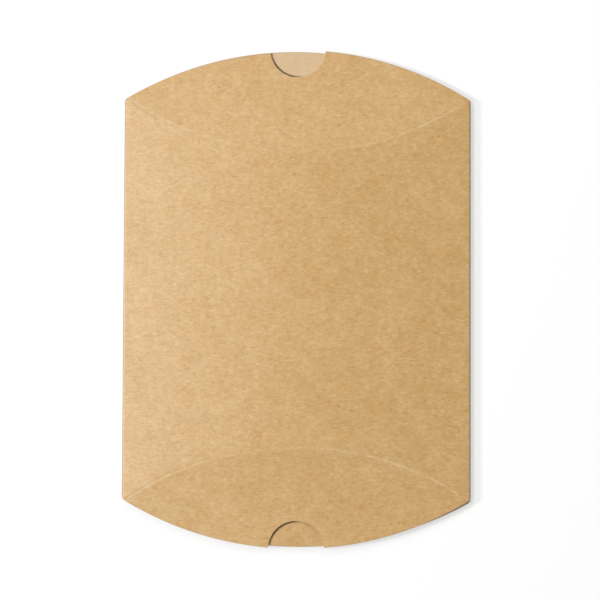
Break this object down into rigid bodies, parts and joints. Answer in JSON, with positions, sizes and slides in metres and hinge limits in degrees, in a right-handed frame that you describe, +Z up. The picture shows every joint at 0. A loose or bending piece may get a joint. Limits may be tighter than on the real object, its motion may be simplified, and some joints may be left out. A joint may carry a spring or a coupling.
{
  "type": "pillow box",
  "caption": "Flat-packed pillow box of creased kraft board: two panels joined at side folds, notched outer flaps and plain inner flaps at both ends, and a glued lap inside one fold",
  "frame": {"origin": "on the table, under the middle of the box's bounding box", "axes": "+X across the box from side fold to side fold, +Y along it from end to end, +Z up through the front panel with the thumb notches"},
  "size_m": [0.1398, 0.2008, 0.0069],
  "materials": {
    "kraft_board": "matte uncoated",
    "dried_glue": "dried white glue"
  },
  "bodies": {
    "back_centre": {"back_panel_centre": "kraft_board"},
    "back_left": {"back_panel_left": "kraft_board"},
    "back_right": {"back_panel_right": "kraft_board", "glue_lap": "kraft_board", "glue_line": "dried_glue"},
    "front_centre": {"front_panel_centre": "kraft_board"},
    "front_left": {"front_panel_left": "kraft_board"},
    "front_right": {"front_panel_right": "kraft_board"},
    "top_outer_centre": {"top_outer_flap_centre": "kraft_board"},
    "top_outer_left": {"top_outer_flap_left": "kraft_board"},
    "top_outer_right": {"top_outer_flap_right": "kraft_board"},
    "top_inner_centre": {"top_inner_flap_centre": "kraft_board"},
    "top_inner_left": {"top_inner_flap_left": "kraft_board"},
    "top_inner_right": {"top_inner_flap_right": "kraft_board"},
    "bottom_outer_centre": {"bottom_outer_flap_centre": "kraft_board"},
    "bottom_outer_left": {"bottom_outer_flap_left": "kraft_board"},
    "bottom_outer_right": {"bottom_outer_flap_right": "kraft_board"},
    "bottom_inner_centre": {"bottom_inner_flap_centre": "kraft_board"},
    "bottom_inner_left": {"bottom_inner_flap_left": "kraft_board"},
    "bottom_inner_right": {"bottom_inner_flap_right": "kraft_board"}
  },
  "joints": [
    {"name": "back_left_bend", "type": "hinge", "parent": "back_centre", "child": "back_left", "pos_m": [-0.013, 0, 0.00045], "axis": [0, 1, 0], "range_deg": [0, 22]},
    {"name": "back_right_bend", "type": "hinge", "parent": "back_centre", "child": "back_right", "pos_m": [0.013, 0, 0.00045], "axis": [0, -1, 0], "range_deg": [0, 22]},
    {"name": "left_fold", "type": "hinge", "parent": "back_left", "child": "front_left", "pos_m": [-0.06915, 0, 0.00345], "axis": [0, -1, 0], "range_deg": [0, 44]},
    {"name": "front_left_bend", "type": "hinge", "parent": "front_left", "child": "front_centre", "pos_m": [-0.013, 0, 0.00645], "axis": [0, 1, 0], "range_deg": [0, 22]},
    {"name": "front_right_bend", "type": "hinge", "parent": "front_centre", "child": "front_right", "pos_m": [0.013, 0, 0.00645], "axis": [0, 1, 0], "range_deg": [0, 22]},
    {"name": "top_outer_crease", "type": "hinge", "parent": "front_centre", "child": "top_outer_centre", "pos_m": [0, 0.0596, 0.0069], "axis": [1, 0, 0], "range_deg": [0, 9]},
    {"name": "top_outer_left_bend", "type": "hinge", "parent": "top_outer_centre", "child": "top_outer_left", "pos_m": [-0.013, 0.06026, 0.00641], "axis": [0, -0.9982, 0.0593], "range_deg": [0, 25]},
    {"name": "top_outer_right_bend", "type": "hinge", "parent": "top_outer_centre", "child": "top_outer_right", "pos_m": [0.013, 0.06026, 0.00641], "axis": [0, 0.9982, -0.0593], "range_deg": [0, 25]},
    {"name": "top_inner_crease", "type": "hinge", "parent": "back_centre", "child": "top_inner_centre", "pos_m": [0, 0.0596, 0.00045], "axis": [1, 0, 0], "range_deg": [0, 76]},
    {"name": "top_inner_left_bend", "type": "hinge", "parent": "top_inner_centre", "child": "top_inner_left", "pos_m": [-0.013, 0.06031, 0.00004], "axis": [0, -0.9982, -0.0593], "range_deg": [0, 19.5]},
    {"name": "top_inner_right_bend", "type": "hinge", "parent": "top_inner_centre", "child": "top_inner_right", "pos_m": [0.013, 0.06031, 0.00004], "axis": [0, 0.9982, 0.0593], "range_deg": [0, 19.5]},
    {"name": "bottom_outer_crease", "type": "hinge", "parent": "front_centre", "child": "bottom_outer_centre", "pos_m": [0, -0.0596, 0.0069], "axis": [-1, 0, 0], "range_deg": [0, 9]},
    {"name": "bottom_outer_left_bend", "type": "hinge", "parent": "bottom_outer_centre", "child": "bottom_outer_left", "pos_m": [-0.013, -0.06026, 0.00641], "axis": [0, -0.9982, -0.0593], "range_deg": [0, 25]},
    {"name": "bottom_outer_right_bend", "type": "hinge", "parent": "bottom_outer_centre", "child": "bottom_outer_right", "pos_m": [0.013, -0.06026, 0.00641], "axis": [0, 0.9982, 0.0593], "range_deg": [0, 25]},
    {"name": "bottom_inner_crease", "type": "hinge", "parent": "back_centre", "child": "bottom_inner_centre", "pos_m": [0, -0.0596, 0.00045], "axis": [-1, 0, 0], "range_deg": [0, 76]},
    {"name": "bottom_inner_left_bend", "type": "hinge", "parent": "bottom_inner_centre", "child": "bottom_inner_left", "pos_m": [-0.013, -0.06031, 0.00004], "axis": [0, -0.9982, 0.0593], "range_deg": [0, 19.5]},
    {"name": "bottom_inner_right_bend", "type": "hinge", "parent": "bottom_inner_centre", "child": "bottom_inner_right", "pos_m": [0.013, -0.06031, 0.00004], "axis": [0, 0.9982, -0.0593], "range_deg": [0, 19.5]}
  ],
  "couplings": [
    {"joint": "back_right_bend", "follows": "back_left_bend", "ratio": 1},
    {"joint": "left_fold", "follows": "back_left_bend", "ratio": 2},
    {"joint": "front_left_bend", "follows": "back_left_bend", "ratio": 1},
    {"joint": "front_right_bend", "follows": "back_left_bend", "ratio": 1},
    {"joint": "top_outer_crease", "follows": "back_left_bend", "ratio": 0.40909},
    {"joint": "top_outer_left_bend", "follows": "back_left_bend", "ratio": 1.1364},
    {"joint": "top_outer_right_bend", "follows": "back_left_bend", "ratio": 1.1364},
    {"joint": "top_inner_crease", "follows": "back_left_bend", "ratio": 3.4545},
    {"joint": "top_inner_left_bend", "follows": "back_left_bend", "ratio": 0.88636},
    {"joint": "top_inner_right_bend", "follows": "back_left_bend", "ratio": 0.88636},
    {"joint": "bottom_outer_crease", "follows": "back_left_bend", "ratio": 0.40909},
    {"joint": "bottom_outer_left_bend", "follows": "back_left_bend", "ratio": 1.1364},
    {"joint": "bottom_outer_right_bend", "follows": "back_left_bend", "ratio": 1.1364},
    {"joint": "bottom_inner_crease", "follows": "back_left_bend", "ratio": 3.4545},
    {"joint": "bottom_inner_left_bend", "follows": "back_left_bend", "ratio": 0.88636},
    {"joint": "bottom_inner_right_bend", "follows": "back_left_bend", "ratio": 0.88636}
  ]
}
